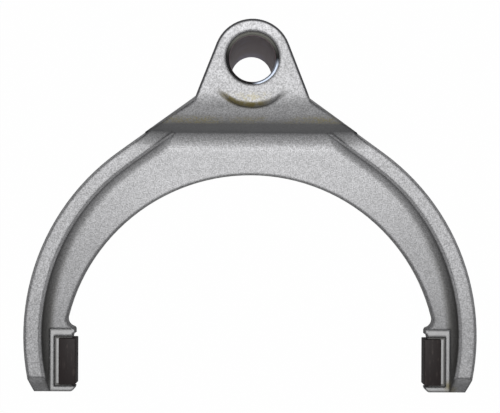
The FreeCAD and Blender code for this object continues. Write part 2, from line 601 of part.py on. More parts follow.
def bush_profile(body, name):
    """Half of the bush cut lengthwise: a thin wall with chamfers at the mouth of its bore."""
    sketch = add_sketch(body, name, role="XZ_Plane")
    inside, outside = value_of(BUSH_INSIDE), value_of(BUSH_OUTSIDE)
    low, high, bevel = (value_of(part) for part in ("Sizes.bush_recess", BUSH_TOP, "Sizes.bush_chamfer"))
    corners = [(inside + bevel, low), (outside, low), (outside, high), (inside + bevel, high),
               (inside, high - bevel), (inside, low + bevel)]
    sides = [line(sketch, start, end) for start, end in zip(corners, corners[1:] + corners[:1])]
    loop(sketch, sides)
    foot, outer, head, upper_bevel, bore, lower_bevel = sides
    for side, kind in ((foot, "Horizontal"), (outer, "Vertical"), (head, "Horizontal"), (bore, "Vertical")):
        rule(sketch, kind, side)
    for direction, bevel_side in (("DistanceX", lower_bevel), ("DistanceX", upper_bevel)):
        near, far = (1, 2) if bevel_side == lower_bevel else (2, 1)
        bind(sketch, direction, bevel_side, near, bevel_side, far, by="Sizes.bush_chamfer")
    bind(sketch, "DistanceY", lower_bevel, 2, lower_bevel, 1, by="Sizes.bush_chamfer")
    bind(sketch, "DistanceY", upper_bevel, 2, upper_bevel, 1, by="Sizes.bush_chamfer")
    bind(sketch, "DistanceX", -1, 1, bore, 1, by=BUSH_INSIDE)
    bind(sketch, "DistanceX", -1, 1, outer, 1, by=BUSH_OUTSIDE)
    bind(sketch, "DistanceY", -1, 1, foot, 1, by="Sizes.bush_recess")
    bind(sketch, "DistanceY", -1, 1, head, 1, by=BUSH_TOP)
    return sketch


def pad_profile(body, name, side):
    """One pad seen along its length: a U that opens outwards and slips over the tongue."""
    sketch = add_sketch(body, name, role="XZ_Plane")
    face, back = value_of(PAD_FACE), value_of(PAD_BACK)
    half, slot, bed = (value_of(part) for part in ("Sizes.pad_thickness / 2", SLOT_HALF, SLOT_BED))
    corners = [(face, -half), (back, -half), (back, -slot), (bed, -slot),
               (bed, slot), (back, slot), (back, half), (face, half)]
    corners = [(side * x, z) for x, z in corners]
    sides = [line(sketch, start, end) for start, end in zip(corners, corners[1:] + corners[:1])]
    loop(sketch, sides)
    low_leg, low_back, low_slot, slot_bed, high_slot, high_back, high_leg, contact = sides
    for edge in (low_leg, low_slot, high_slot, high_leg):
        rule(sketch, "Horizontal", edge)
    rule(sketch, "Vertical", low_back)
    rule(sketch, "Vertical", high_back)
    rule(sketch, "Vertical", low_back, 1, high_back, 1)
    rule(sketch, "Symmetric", contact, 1, contact, 2, -1)
    rule(sketch, "Symmetric", slot_bed, 1, slot_bed, 2, -1)
    for edge, place in ((contact, PAD_FACE), (low_back, PAD_BACK), (slot_bed, SLOT_BED)):
        ends = (-1, 1, edge, 1) if side > 0 else (edge, 1, -1, 1)
        bind(sketch, "DistanceX", *ends, by=place)
    bind(sketch, "DistanceY", contact, 2, contact, 1, by="Sizes.pad_thickness")
    bind(sketch, "DistanceY", slot_bed, 1, slot_bed, 2, by=f"2 * {SLOT_HALF}")
    return sketch


def extrude(body, kind, name, sketch, length=None, **options):
    """Adds or cuts away a sketched outline, over a length or, without one, through everything."""
    feature = body.newObject(f"PartDesign::{kind}", name)
    feature.Profile = sketch
    if length:
        feature.setExpression("Length", length)
    else:
        feature.Type = "ThroughAll"
    for option, value in options.items():
        setattr(feature, option, value)
    return feature


def revolve(body, name, sketch, angle="360", **options):
    """Turns a sketched outline about the sketch's own upright axis."""
    feature = body.newObject("PartDesign::Revolution", name)
    feature.Profile = sketch
    feature.ReferenceAxis = (sketch, ["V_Axis"])
    feature.setExpression("Angle", angle)
    for option, value in options.items():
        setattr(feature, option, value)
    return feature


def soften(body, name, base, size, wanted, kind="Fillet"):
    """Rounds or chamfers the edges of a feature that the given test picks out."""
    doc.recompute()
    names = [f"Edge{number}" for number, edge in enumerate(base.Shape.Edges, start=1) if wanted(edge)]
    feature = body.newObject(f"PartDesign::{kind}", name)
    feature.Base = (base, names)
    feature.setExpression("Radius" if kind == "Fillet" else "Size", size)
    return feature


def make_casting():
    """The fork casting: lug, ribs and web of one half, its mirror image, and the hub."""
    body = doc.addObject("PartDesign::Body", "fork_casting")
    web = extrude(body, "Pad", "Web", web_outline(body, "WebOutline"), "Sizes.web_thickness")
    soften(body, "WebEdges", web, "Sizes.web_edge", is_inner_edge, kind="Chamfer")
    extrude(body, "Pad", "LugFoot", lug_outline(body, "LugFootOutline"), TAPER_START)
    extrude(body, "Pad", "LugFlank", flank_outline(body, "LugFlankOutline"),
            f"Sizes.hub_height - {TAPER_START}")
    extrude(body, "Pad", "LugShoulder", shoulder_section(body, "LugShoulderOutline"), SHOULDER_RUN,
            Reversed=True)
    extrude(body, "Pocket", "LugFront", front_profile(body, "LugFrontOutline", WEB_FRONT), Midplane=True)
    extrude(body, "Pocket", "LugBack", back_profile(body, "LugBackOutline"), Midplane=True)
    extrude(body, "Pad", "RibRoot", root_outline(body, "RibRootOutline"), f"{ROOT_TOP} - {MID_PLANE}")
    extrude(body, "Pocket", "RibRootFront", root_profile(body, "RibRootFrontOutline"), Midplane=True)
    section = rib_section(body, "RibSection")
    revolve(body, "RibArc", section, RIB_SWEEP, Reversed=True)
    extrude(body, "Pad", "RibStraight", section, RIB_STRAIGHT, Reversed=True)
    tail = add_sketch(body, "TailOutline")
    rectangle(tail, "0", f"Sizes.arm_radius + {OVERCUT}", f"{PAST_TAIL} + {OVERCUT}", TAIL)
    extrude(body, "Pocket", "TailFace", tail, Reversed=True)
    extrude(body, "Pocket", "EndChamfers", end_chamfer(body, "EndChamferOutline"), Midplane=True)
    for name, sign, is_front in (("Front", "+", True), ("Back", "-", False)):
        land = add_sketch(body, f"{name}LandOutline", height=f"{MID_PLANE} {sign} {LAND_HALF}")
        rectangle(land, f"{BAR_END} - Sizes.notch_radius", LAND_SIDE, PAST_TAIL, LAND_TOP)
        extrude(body, "Pocket", f"{name}Land", land, Reversed=is_front)
        seat = add_sketch(body, f"{name}SeatOutline", height=f"{MID_PLANE} {sign} {TONGUE} / 2")
        rectangle(seat, f"{BAR_END} - Sizes.notch_radius", POCKET_WALL, POCKET_BOTTOM, POCKET_TOP)
        extrude(body, "Pocket", f"{name}Seat", seat, Reversed=is_front)
    tongue = add_sketch(body, "TongueEndOutline")
    rectangle(tongue, f"{BAR_END} - Sizes.notch_radius", TONGUE_END, POCKET_BOTTOM,
              f"{NUB_DOWN} + Sizes.nub_radius")
    cut = extrude(body, "Pocket", "TongueEnd", tongue, Reversed=True)
    soften(body, "TipCorner", cut, "Sizes.tip_radius", is_tip_corner)
    mirror = body.newObject("PartDesign::Mirrored", "OtherHalf")
    mirror.TransformMode = "Whole shape"
    mirror.MirrorPlane = (origin_plane(body, "YZ_Plane"), [""])
    body.Tip = mirror
    doc.recompute()
    extrude(body, "Pad", "Hub", disc(body, "HubOutline", "Sizes.hub_radius"), "Sizes.hub_height")
    revolve(body, "Boss", boss_profile(body, "BossOutline"), "Sizes.boss_spread", Midplane=True)
    bore = extrude(body, "Pocket", "Bore", disc(body, "BoreOutline", CASTING_BORE), Midplane=True)
    soften(body, "BoreMouths", bore, "Sizes.bore_chamfer", is_bore_rim, kind="Chamfer")
    body.setExpression("Placement.Base.z", f"-{MID_PLANE}")
    return body


def is_inner_edge(edge):
    """Whether an edge is the relief's long arc, on the front or the back of the web."""
    is_round = hasattr(edge.Curve, "Radius")
    is_level = edge.BoundBox.ZLength < NEARLY
    return is_level and is_round and abs(edge.Curve.Radius - value_of(RELIEF_RADIUS)) < NEARLY


def is_tip_corner(edge):
    """Whether an edge is the upright one at the tip's lower inside corner."""
    corner = Vector(value_of(BAR_END), -value_of(TAIL))
    start, end = (Vector(vertex.X, vertex.Y) for vertex in (edge.Vertexes[0], edge.Vertexes[-1]))
    return start.isEqual(corner, NEARLY) and end.isEqual(corner, NEARLY)


def is_bore_rim(edge):
    """Whether an edge is one of the two mouths of the casting's bore."""
    is_round = hasattr(edge.Curve, "Radius")
    return is_round and abs(edge.Curve.Radius - value_of(CASTING_BORE)) < NEARLY


def is_contact_edge(edge):
    """Whether an edge runs along the pad's contact face, the one towards the sleeve."""
    face = value_of(PAD_FACE)
    return all(abs(abs(vertex.X) - face) < NEARLY for vertex in edge.Vertexes)


def make_pad(name, side):
    """One slipper pad, as seen from its own middle."""
    body = doc.addObject("PartDesign::Body", name)
    slipper = extrude(body, "Pad", f"{name}_u", pad_profile(body, f"{name}_outline", side),
                      "Sizes.pad_length", Midplane=True)
    soften(body, f"{name}_edges", slipper, "Sizes.pad_edge", is_contact_edge)
    body.setExpression("Placement.Base.y", f"-{SLEEVE_AXIS}")
    return body


def make_bush():
    """The plain bush that lines the rail bore."""
    body = doc.addObject("PartDesign::Body", "rail_bush")
    revolve(body, "BushRing", bush_profile(body, "BushOutline"))
    body.setExpression("Placement.Base.z", f"-{MID_PLANE}")
    return body


nodes = [make_casting(), make_pad("left_pad", -1), make_pad("right_pad", 1), make_bush()]
doc.recompute()

# Every object has to be sound, and every step has to have changed its piece
for item in doc.Objects:
    if {"Invalid", "Error"} & set(item.State):
        raise RuntimeError(f"{item.Name} is not sound: {item.State}")
for body in nodes:
    volumes = [item.Shape.Volume for item in body.Group if item.isDerivedFrom("PartDesign::Feature")]
    if any(abs(after - before) < 0.01 for before, after in zip(volumes, volumes[1:])):
        raise RuntimeError(f"A step of {body.Label} changes nothing")
    if body.Shape.isNull() or not body.Shape.isValid():
        raise RuntimeError(f"{body.Label} has no valid shape")

os.makedirs("parts", exist_ok=True)
for body in nodes:
    body.Shape.exportStep(f"parts/{body.Label}.step")
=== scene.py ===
"""The looks of a gearbox shift fork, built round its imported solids.

Lengths are in metres, in the frame of the solids: the shift rail runs along Z through the origin, the
arms reach towards -Y, and the fork's flat back lies on the floor.
"""

import logging
import math
from dataclasses import dataclass
from enum import Enum

import bmesh
import bpy
from mathutils import Matrix, Vector


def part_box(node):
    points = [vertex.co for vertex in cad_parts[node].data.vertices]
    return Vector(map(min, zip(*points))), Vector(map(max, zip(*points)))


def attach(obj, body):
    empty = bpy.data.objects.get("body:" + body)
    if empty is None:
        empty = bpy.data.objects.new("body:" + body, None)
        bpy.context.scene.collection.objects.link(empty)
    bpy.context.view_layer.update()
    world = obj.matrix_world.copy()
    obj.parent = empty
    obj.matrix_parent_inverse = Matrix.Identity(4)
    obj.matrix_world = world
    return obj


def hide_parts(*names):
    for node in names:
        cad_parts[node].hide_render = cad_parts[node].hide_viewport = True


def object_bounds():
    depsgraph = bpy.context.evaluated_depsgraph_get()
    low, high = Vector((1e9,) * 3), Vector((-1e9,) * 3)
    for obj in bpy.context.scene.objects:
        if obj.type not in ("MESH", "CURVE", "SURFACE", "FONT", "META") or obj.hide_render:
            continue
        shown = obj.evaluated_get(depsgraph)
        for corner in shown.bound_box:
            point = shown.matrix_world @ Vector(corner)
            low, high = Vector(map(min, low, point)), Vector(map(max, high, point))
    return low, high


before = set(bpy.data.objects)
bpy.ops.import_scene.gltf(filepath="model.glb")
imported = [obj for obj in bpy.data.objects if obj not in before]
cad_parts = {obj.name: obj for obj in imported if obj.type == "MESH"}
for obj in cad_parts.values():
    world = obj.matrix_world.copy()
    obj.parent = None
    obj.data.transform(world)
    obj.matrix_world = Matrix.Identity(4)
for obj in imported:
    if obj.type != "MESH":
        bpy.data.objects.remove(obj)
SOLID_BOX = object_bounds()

Colour = tuple[float, float, float]
Point = tuple[float, float, float]
Socket = bpy.types.NodeSocket

MM = 0.001
WHITE: Colour = (1.0, 1.0, 1.0)
BODY = "root"
LOG = logging.getLogger("shift_fork")


class Side(Enum):
    """The two sides of the fork, as seen from its front."""

    LEFT = -1
    RIGHT = 1


class Node(Enum):
    """The solids that the fork is made of."""

    CASTING = "fork_casting"
    LEFT_PAD = "left_pad"
    RIGHT_PAD = "right_pad"
    BUSH = "rail_bush"


class MixKind(Enum):
    """What a Mix node mixes: the numbers of its two inputs of that kind and of their output."""

    FLOAT = (2, 3, 0)
    RGBA = (6, 7, 2)


class Graph:
    """A material's node tree, with short calls for the nodes that the finishes share."""

    def __init__(self, name: str) -> None:
        """Starts an empty material.

        Args:
            name: The material's name.
        """
        self.material = bpy.data.materials.new(name)
        self.material.use_nodes = True
        self.tree = self.material.node_tree
        self.tree.nodes.clear()
        self.output = self.tree.nodes.new("ShaderNodeOutputMaterial")
        self.place = self.add("ShaderNodeTexCoord").outputs["Object"]

    def add(self, kind: str, inputs: dict | None = None, **settings: object) -> bpy.types.Node:
        """Adds a node.

        Args:
            kind: The node's type.
            inputs: Values or sockets for its inputs, by name or number.
            settings: Values for its own properties.

        Returns:
            The node.
        """
        node = self.tree.nodes.new(kind)
        for key, value in settings.items():
            setattr(node, key, value)
        for key, value in (inputs or {}).items():
            self.feed(node.inputs[key], value)
        return node

    def feed(self, socket: Socket, value: object) -> None:
        """Links a socket to an input, or sets the input's own value.

        Args:
            socket: The input.
            value: A socket, a number or a colour.
        """
        if isinstance(value, bpy.types.NodeSocket):
            self.tree.links.new(value, socket)
        elif isinstance(value, tuple) and socket.type == "RGBA":
            socket.default_value = (*value, 1.0)
        else:
            socket.default_value = value

    def math(self, operation: str, *values: object) -> Socket:
        """The result of a sum on one, two or three values."""
        return self.add("ShaderNodeMath", dict(enumerate(values)), operation=operation).outputs[0]

    def product(self, first: object, *others: object) -> Socket:
        """The product of all the values."""
        for other in others:
            first = self.math("MULTIPLY", first, other)
        return first

    def length(self, across: Socket, along: Socket) -> Socket:
        """The length of a flat vector."""
        squares = self.math("MULTIPLY_ADD", across, across, self.product(along, along))
        return self.math("SQRT", squares)

    def mix(self, amount: object, first: object, second: object, kind: MixKind = MixKind.RGBA,
            blend: str = "MIX") -> Socket:
        """A value between two others, or another blend of them.

        Args:
            amount: How much of the second is in it.
            first: The value where the amount is 0.
            second: The other value.
            kind: What the values are.
            blend: How they are blended.

        Returns:
            The result.
        """
        left, right, result = kind.value
        inputs = {"Factor": amount, left: first, right: second}
        return self.add("ShaderNodeMix", inputs, data_type=kind.name, blend_type=blend).outputs[result]

    def between(self, amount: object, first: object, second: object) -> Socket:
        """A number between two others."""
        return self.mix(amount, first, second, MixKind.FLOAT)

    def axes(self) -> tuple[Socket, ...]:
        """The object's X, Y and Z at the shaded point."""
        return tuple(self.add("ShaderNodeSeparateXYZ", {0: self.place}).outputs)

    def principled(self, bump: dict, inputs: dict) -> bpy.types.Material:
        """Ends the tree in a shader with relief and returns the material.

        Args:
            bump: The inputs of the relief.
            inputs: The shader's other inputs.

        Returns:
            The material.
        """
        normal = self.add("ShaderNodeBump", bump).outputs[0]
        return self.finish(self.add("ShaderNodeBsdfPrincipled", {**inputs, "Normal": normal}))

    def finish(self, shader: bpy.types.Node) -> bpy.types.Material:
        """Ends the tree in a shader and returns the material."""
        self.tree.links.new(shader.outputs[0], self.output.inputs["Surface"])
        return self.material


@dataclass(frozen=True)
class Fade:
    """A smooth step from 0 to 1.

    Attributes:
        off: The value at which it is 0.
        full: The value at which it is 1, above or below the other.
    """

    off: float
    full: float

    def mask(self, graph: Graph, value: Socket) -> Socket:
        """The step over a value."""
        inputs = {"Value": value, "From Min": self.off, "From Max": self.full}
        return graph.add("ShaderNodeMapRange", inputs, interpolation_type="SMOOTHSTEP").outputs[0]


@dataclass(frozen=True)
class Band:
    """A band of values with soft edges, 1 inside it and 0 outside.

    Attributes:
        centre: Its middle.
        reach: How far from the middle it is a half.
        soft: How gradual its edges are.
    """

    centre: float
    reach: float
    soft: float

    def mask(self, graph: Graph, value: Socket) -> Socket:
        """The band over a value."""
        away = graph.math("ABSOLUTE", graph.math("SUBTRACT", value, self.centre))
        return Fade(self.reach + self.soft / 2, self.reach - self.soft / 2).mask(graph, away)


@dataclass(frozen=True)
class Waves:
    """Smooth noise over the object, about 0.5 on average.

    Attributes:
        scale: Its waves in a metre.
        detail: Its number of finer layers.
        fade: The step that makes patches of it.
        stretch: How far each axis is drawn out, or None for an even grain.
    """

    scale: float
    detail: float = 3.0
    fade: Fade = Fade(0.0, 1.0)
    stretch: Point | None = None

    def value(self, graph: Graph) -> Socket:
        """The noise itself."""
        place = graph.place
        if self.stretch:
            place = graph.add("ShaderNodeMapping", {"Vector": place, "Scale": self.stretch}).outputs[0]
        inputs = {"Vector": place, "Scale": self.scale, "Detail": self.detail}
        return graph.add("ShaderNodeTexNoise", inputs).outputs["Fac"]

    def mask(self, graph: Graph) -> Socket:
        """The patches that its fade makes of it."""
        return self.fade.mask(graph, self.value(graph))


@dataclass(frozen=True)
class Spot:
    """The shaded point of the casting, in the measures that its regions are limited by.

    Attributes:
        across: Its X.
        along: Its Y.
        height: Its Z.
        aside: How far it is from the middle, on either side.
        level: How far it is from the arms' middle plane, on either side.
        radius: How far it is from the rail's axis.
        arc: How far it is from the centre of the arms' arcs.
        facing: The surface's normal.
        upward: How far the surface faces up, from -1 to 1.
    """

    across: Socket
    along: Socket
    height: Socket
    aside: Socket
    level: Socket
    radius: Socket
    arc: Socket
    facing: Socket
    upward: Socket

    @classmethod
    def measure(cls, graph: Graph, arm_centre: float) -> "Spot":
        """Adds the nodes that measure the shaded point.

        Args:
            graph: The casting's node tree.
            arm_centre: Where the arms' arcs have their centre, along the arms.

        Returns:
            The measures.
        """
        across, along, height = graph.axes()
        facing = graph.add("ShaderNodeNewGeometry").outputs["Normal"]
        return cls(
            across=across,
            along=along,
            height=height,
            aside=graph.math("ABSOLUTE", across),
            level=graph.math("ABSOLUTE", height),
            radius=graph.length(across, along),
            arc=graph.length(across, graph.math("SUBTRACT", along, arm_centre)),
            facing=facing,
            upward=graph.add("ShaderNodeSeparateXYZ", {0: facing}).outputs["Z"],
        )


@dataclass(frozen=True)
class Region:
    """A part of the casting's surface, limited by the measures of a Spot, each None where it has no limit.

    Attributes:
        across: Its limit by the X.
        along: Its limit by the Y.
        height: Its limit by the Z.
        aside: Its limit by the distance from the middle.
        level: Its limit by the distance from the arms' middle plane.
        radius: Its limit by the distance from the rail's axis.
        arc: Its limit by the distance from the centre of the arms' arcs.
        upward: Its limit by how far the surface faces up.
    """

    across: Fade | Band | None = None
    along: Fade | Band | None = None
    height: Fade | Band | None = None
    aside: Fade | Band | None = None
    level: Fade | Band | None = None
    radius: Fade | Band | None = None
    arc: Fade | Band | None = None
    upward: Fade | Band | None = None

    def mask(self, graph: Graph, spot: Spot) -> Socket:
        """The mask of the region at the shaded point."""
        limits = [(name, limit) for name, limit in vars(self).items() if limit]
        return graph.product(*(limit.mask(graph, getattr(spot, name)) for name, limit in limits))


@dataclass(frozen=True)
class Shade:
    """A region where painted light or painted shade makes the skin lighter or darker.

    Attributes:
        amount: How much lighter it is, below 0 where it is darker.
        region: Where it is.
    """

    amount: float
    region: Region


@dataclass(frozen=True)
class Tones:
    """How light the casting's skin is from place to place: painted shade and painted light for how the
    lamps fall on it, and darker towards the tips.

    Attributes:
        steep_face: The lug's steep face, with painted shade.
        far_web: The web, towards the tips.
        far_end: All of the arms, towards the tips.
        crest: The lug's crest, with painted light.
        hub_top: The hub's face above the bore, with painted light.
        toe: The lug's toe, with painted light.
    """

    steep_face: Shade = Shade(-0.5, Region(
        along=Fade(-17.0 * MM, -22.0 * MM), height=Fade(4.5 * MM, 11.0 * MM), upward=Fade(0.75, 0.05)))
    far_web: Shade = Shade(-0.18, Region(
        along=Fade(-50.0 * MM, -95.0 * MM), level=Fade(9.0 * MM, 7.0 * MM)))
    far_end: Shade = Shade(-0.12, Region(along=Fade(-100.0 * MM, -125.0 * MM)))
    crest: Shade = Shade(0.16, Region(
        along=Fade(-20.0 * MM, -22.5 * MM), height=Fade(40.0 * MM, 45.0 * MM)))
    hub_top: Shade = Shade(0.25, Region(
        along=Fade(3.0 * MM, 13.0 * MM), height=Fade(48.0 * MM, 52.0 * MM)))
    toe: Shade = Shade(0.4, Region(
        along=Band(-32.5 * MM, 3.0 * MM, 7.0 * MM), height=Fade(13.0 * MM, 9.0 * MM),
        aside=Fade(46.0 * MM, 36.0 * MM)))

    def factor(self, graph: Graph, spot: Spot) -> Socket:
        """What the skin's colour is multiplied by, for the painted light and shade."""
        factor = 1.0
        for shade in vars(self).values():
            factor = graph.math("MULTIPLY_ADD", shade.region.mask(graph, spot), shade.amount, factor)
        return factor


@dataclass(frozen=True)
class Skin:
    """The casting's shot-blasted skin.

    Attributes:
        light: The colour of its high spots.
        dark: The colour of its pits.
        grain: The blasting's grain.
        dimples: Its coarser dimples.
        dimple_share: How much of the change in colour is the dimples'.
        contrast: How the colour changes from its pits to its high spots.
        clouds: Its slow change of tone.
        cloud_strength: How strong that change is at most.
        dimple_depth: How deep the dimples are beside the grain.
        tones: The painted light and shade on it from place to place.
    """

    light: Colour = (0.7, 0.7, 0.715)
    dark: Colour = (0.34, 0.34, 0.345)
    grain: Waves = Waves(1700.0, detail=1.0)
    dimples: Waves = Waves(750.0, detail=2.0)
    dimple_share: float = 0.3
    contrast: Fade = Fade(0.28, 0.72)
    clouds: Waves = Waves(28.0, detail=4.0, fade=Fade(0.62, 0.36))
    cloud_strength: float = 0.1
    dimple_depth: float = 0.6
    tones: Tones = Tones()

    def paint(self, graph: Graph, spot: Spot) -> tuple[Socket, Socket]:
        """Builds the bare skin.

        Args:
            graph: The casting's node tree.
            spot: The shaded point.

        Returns:
            Its colour, and the height of its relief.
        """
        grain = self.grain.value(graph)
        dimples = self.dimples.value(graph)
        tone = self.contrast.mask(graph, graph.between(self.dimple_share, grain, dimples))
        colour = graph.mix(tone, self.dark, self.light)
        cloudy = graph.product(self.clouds.mask(graph), self.cloud_strength)
        colour = graph.mix(cloudy, colour, self.dark)
        # Painted light and painted shade from place to place.
        colour = graph.mix(1.0, colour, self.tones.factor(graph, spot), blend="MULTIPLY")
        return colour, graph.math("MULTIPLY_ADD", dimples, self.dimple_depth, grain)


@dataclass(frozen=True)
class Stain:
    """A patch of dried oil on the casting, ragged at its edge.

    Attributes:
        centre: Its middle.
        reach: How far it spreads.
        strength: How strong it is at most.
        edge: What makes its edge ragged.
        clear: Where it has ended, as a share of its reach.
        solid: Where it is at its strongest, as a share of its reach.
    """

    centre: Point
    reach: float
    strength: float
    edge: Waves = Waves(260.0)
    clear: float = 1.4
    solid: float = 0.6

    def mask(self, graph: Graph) -> Socket:
        """The mask of the stain, up to its own strength."""
        apart = graph.add("ShaderNodeVectorMath", {0: graph.place, 1: self.centre}, operation="DISTANCE")
        spread = graph.math("MULTIPLY_ADD", self.edge.value(graph), self.reach, apart.outputs["Value"])
        patch = Fade(self.clear * self.reach, self.solid * self.reach).mask(graph, spread)
        return graph.product(patch, self.strength)


@dataclass(frozen=True)
class Oil:
    """Oil that has dried on the casting.

    Attributes:
        dried: Its colour.
        film: The colour of a thin film of it.
        stains: Its patches.
        pool: The part of the hollow under the boss that it stands in.
        ripples: What makes it uneven there.
        thinnest: How much of it is left there where it is thinnest.
        crest: Where specks of it lie along the lug's crest.
        below_bore: Where they lie below the bore.
        below_bore_share: How many lie there beside the crest's.
        specks: The specks.
        patches: The patches that the specks lie in.
        speck_strength: How strong they are at most.
    """

    dried: Colour = (0.2, 0.165, 0.06)
    film: Colour = (0.5, 0.44, 0.22)
    stains: tuple[Stain, ...] = (
        Stain((97.0 * MM, -151.0 * MM, 3.0 * MM), reach=5.0 * MM, strength=0.8),
    )
    pool: Region = Region(across=Band(-3.5 * MM, 9.0 * MM, 8.0 * MM))
    ripples: Waves = Waves(420.0, fade=Fade(0.25, 0.6))
    thinnest: float = 0.3
    crest: Region = Region(
        along=Fade(-20.0 * MM, -24.0 * MM), height=Band(45.5 * MM, 3.0 * MM, 3.0 * MM))
    below_bore: Region = Region(
        across=Band(-2.0 * MM, 9.0 * MM, 6.0 * MM), along=Band(-16.8 * MM, 2.0 * MM, 2.0 * MM),
        height=Fade(54.0 * MM, 54.8 * MM))
    below_bore_share: float = 0.6
    specks: Waves = Waves(1100.0, fade=Fade(0.4, 0.62))
    patches: Waves = Waves(70.0, fade=Fade(0.35, 0.6))
    speck_strength: float = 0.8

    def paint(self, graph: Graph, spot: Spot, colour: Socket, under_boss: Socket) -> Socket:
        """Lays the oil over the skin.

        Args:
            graph: The casting's node tree.
            spot: The shaded point.
            colour: The skin's colour.
            under_boss: The mask of the hollow under the boss.

        Returns:
            The colour with the oil on it.
        """
        for stain in self.stains:
            colour = graph.mix(stain.mask(graph), colour, self.dried)
        uneven = graph.between(self.ripples.mask(graph), self.thinnest, 1.0)
        pooled = graph.product(under_boss, self.pool.mask(graph, spot), uneven)
        colour = graph.mix(pooled, colour, self.dried)
        return graph.mix(self.specked(graph, spot), colour, self.film)

    def specked(self, graph: Graph, spot: Spot) -> Socket:
        """The mask of the thin oil that has dried in specks."""
        place = graph.math("MULTIPLY_ADD", self.below_bore.mask(graph, spot), self.below_bore_share,
                           self.crest.mask(graph, spot))
        return graph.product(place, self.specks.mask(graph), self.patches.mask(graph), self.speck_strength)


@dataclass(frozen=True)
class CornerShade:
    """What has settled in the casting's corners.

    Attributes:
        shade_colour: The colour of the painted shade.
        pocket: The floors of the tips' pockets.
        pocket_sides: The strips along the pockets' walls.
        pocket_strength: How strong it is there at most.
        channel: The channel between rib and web, darkest beside the tips.
        channel_strength: How strong it is there at most.
        corner_reach: How far round a point the walls of a corner are looked for.
        corner_samples: How many times they are looked for.
        corner: How dark a point is, by how open it is.
        corner_strength: How strong it is in a corner at most.
    """

    shade_colour: Colour = (0.06, 0.058, 0.052)
    pocket: Region = Region(
        along=Fade(-122.8 * MM, -122.85 * MM), aside=Fade(95.01 * MM, 94.99 * MM),
        level=Fade(2.25 * MM, 2.15 * MM))
    pocket_sides: tuple[Region, ...] = (
        Region(aside=Fade(93.5 * MM, 94.3 * MM)),
        Region(along=Fade(-128.4 * MM, -128.0 * MM)),
        Region(along=Fade(-149.6 * MM, -150.0 * MM)),
    )
    pocket_strength: float = 0.85
    channel: Region = Region(
        along=Fade(-45.0 * MM, -125.0 * MM), level=Fade(10.2 * MM, 9.0 * MM),
        arc=Band(98.0 * MM, 2.6 * MM, 3.2 * MM))
    channel_strength: float = 0.8
    corner_reach: float = 12.0 * MM
    corner_samples: int = 12
    corner: Fade = Fade(0.4, 0.05)
    corner_strength: float = 0.5

    def paint(self, graph: Graph, spot: Spot, colour: Socket, on_land: Socket) -> Socket:
        """Lays the painted shade over the skin.

        Args:
            graph: The casting's node tree.
            spot: The shaded point.
            colour: The skin's colour.
            on_land: The mask of the machined lands, which get no painted shade beside the channel.

        Returns:
            The colour with the painted shade on it.
        """
        # Painted shade on the pocket floors along their walls.
        colour = graph.mix(self.in_pockets(graph, spot), colour, self.shade_colour)
        # Painted shade in the corners, darker where less of the surroundings is open.
        openness = graph.add("ShaderNodeAmbientOcclusion", {"Distance": self.corner_reach},
                             samples=self.corner_samples).outputs["AO"]
        in_corner = graph.product(self.corner.mask(graph, openness), self.corner_strength)
        # Painted shade in the channel beside the ribs, but not on the lands.
        in_channel = graph.product(self.channel.mask(graph, spot), self.channel_strength,
                                   graph.math("SUBTRACT", 1.0, on_land))
        return graph.mix(graph.math("MAXIMUM", in_corner, in_channel), colour, self.shade_colour)

    def in_pockets(self, graph: Graph, spot: Spot) -> Socket:
        """The mask of the painted shade along the walls of the tips' pockets."""
        by_wall = 0.0
        for side in self.pocket_sides:
            by_wall = graph.math("MAXIMUM", by_wall, side.mask(graph, spot))
        return graph.product(self.pocket.mask(graph, spot), by_wall, self.pocket_strength)


@dataclass(frozen=True)
class HubLine:
    """The dark line of painted shade along the hub's round top and its straight flanks.

    Attributes:
        radius: The radius of the hub's round top.
        flank_angle: How far the hub's flanks lean out, in degrees.
        top: Where the round top takes over from the flanks, from the line that parts them.
        inner: Where the line begins, from the hub's outline.
        outer: Where it ends, from the hub's outline.
        region: The part of the hub that has it.
    """

    radius: float = 16.6 * MM
    flank_angle: float = 21.5
    top: Fade = Fade(-0.1 * MM, 0.1 * MM)
    inner: Fade = Fade(-1.1 * MM, -0.7 * MM)
    outer: Fade = Fade(0.5 * MM, 0.2 * MM)
    region: Region = Region(along=Fade(-18.0 * MM, -15.0 * MM), height=Fade(46.0 * MM, 50.0 * MM))

    def mask(self, graph: Graph, spot: Spot) -> Socket:
        """The mask of the line.

        Args:
            graph: The casting's node tree.
            spot: The shaded point.

        Returns:
            The mask.
        """
        lean = math.radians(self.flank_angle)
        flank = graph.math("MULTIPLY_ADD", spot.aside, math.cos(lean),
                           graph.product(spot.along, math.sin(lean)))
        above = graph.math("MULTIPLY_ADD", spot.aside, -math.tan(lean), spot.along)
        reach = graph.between(self.top.mask(graph, above), flank, spot.radius)
        past = graph.math("SUBTRACT", reach, self.radius)
        return graph.product(self.inner.mask(graph, past), self.outer.mask(graph, past),
                             self.region.mask(graph, spot))


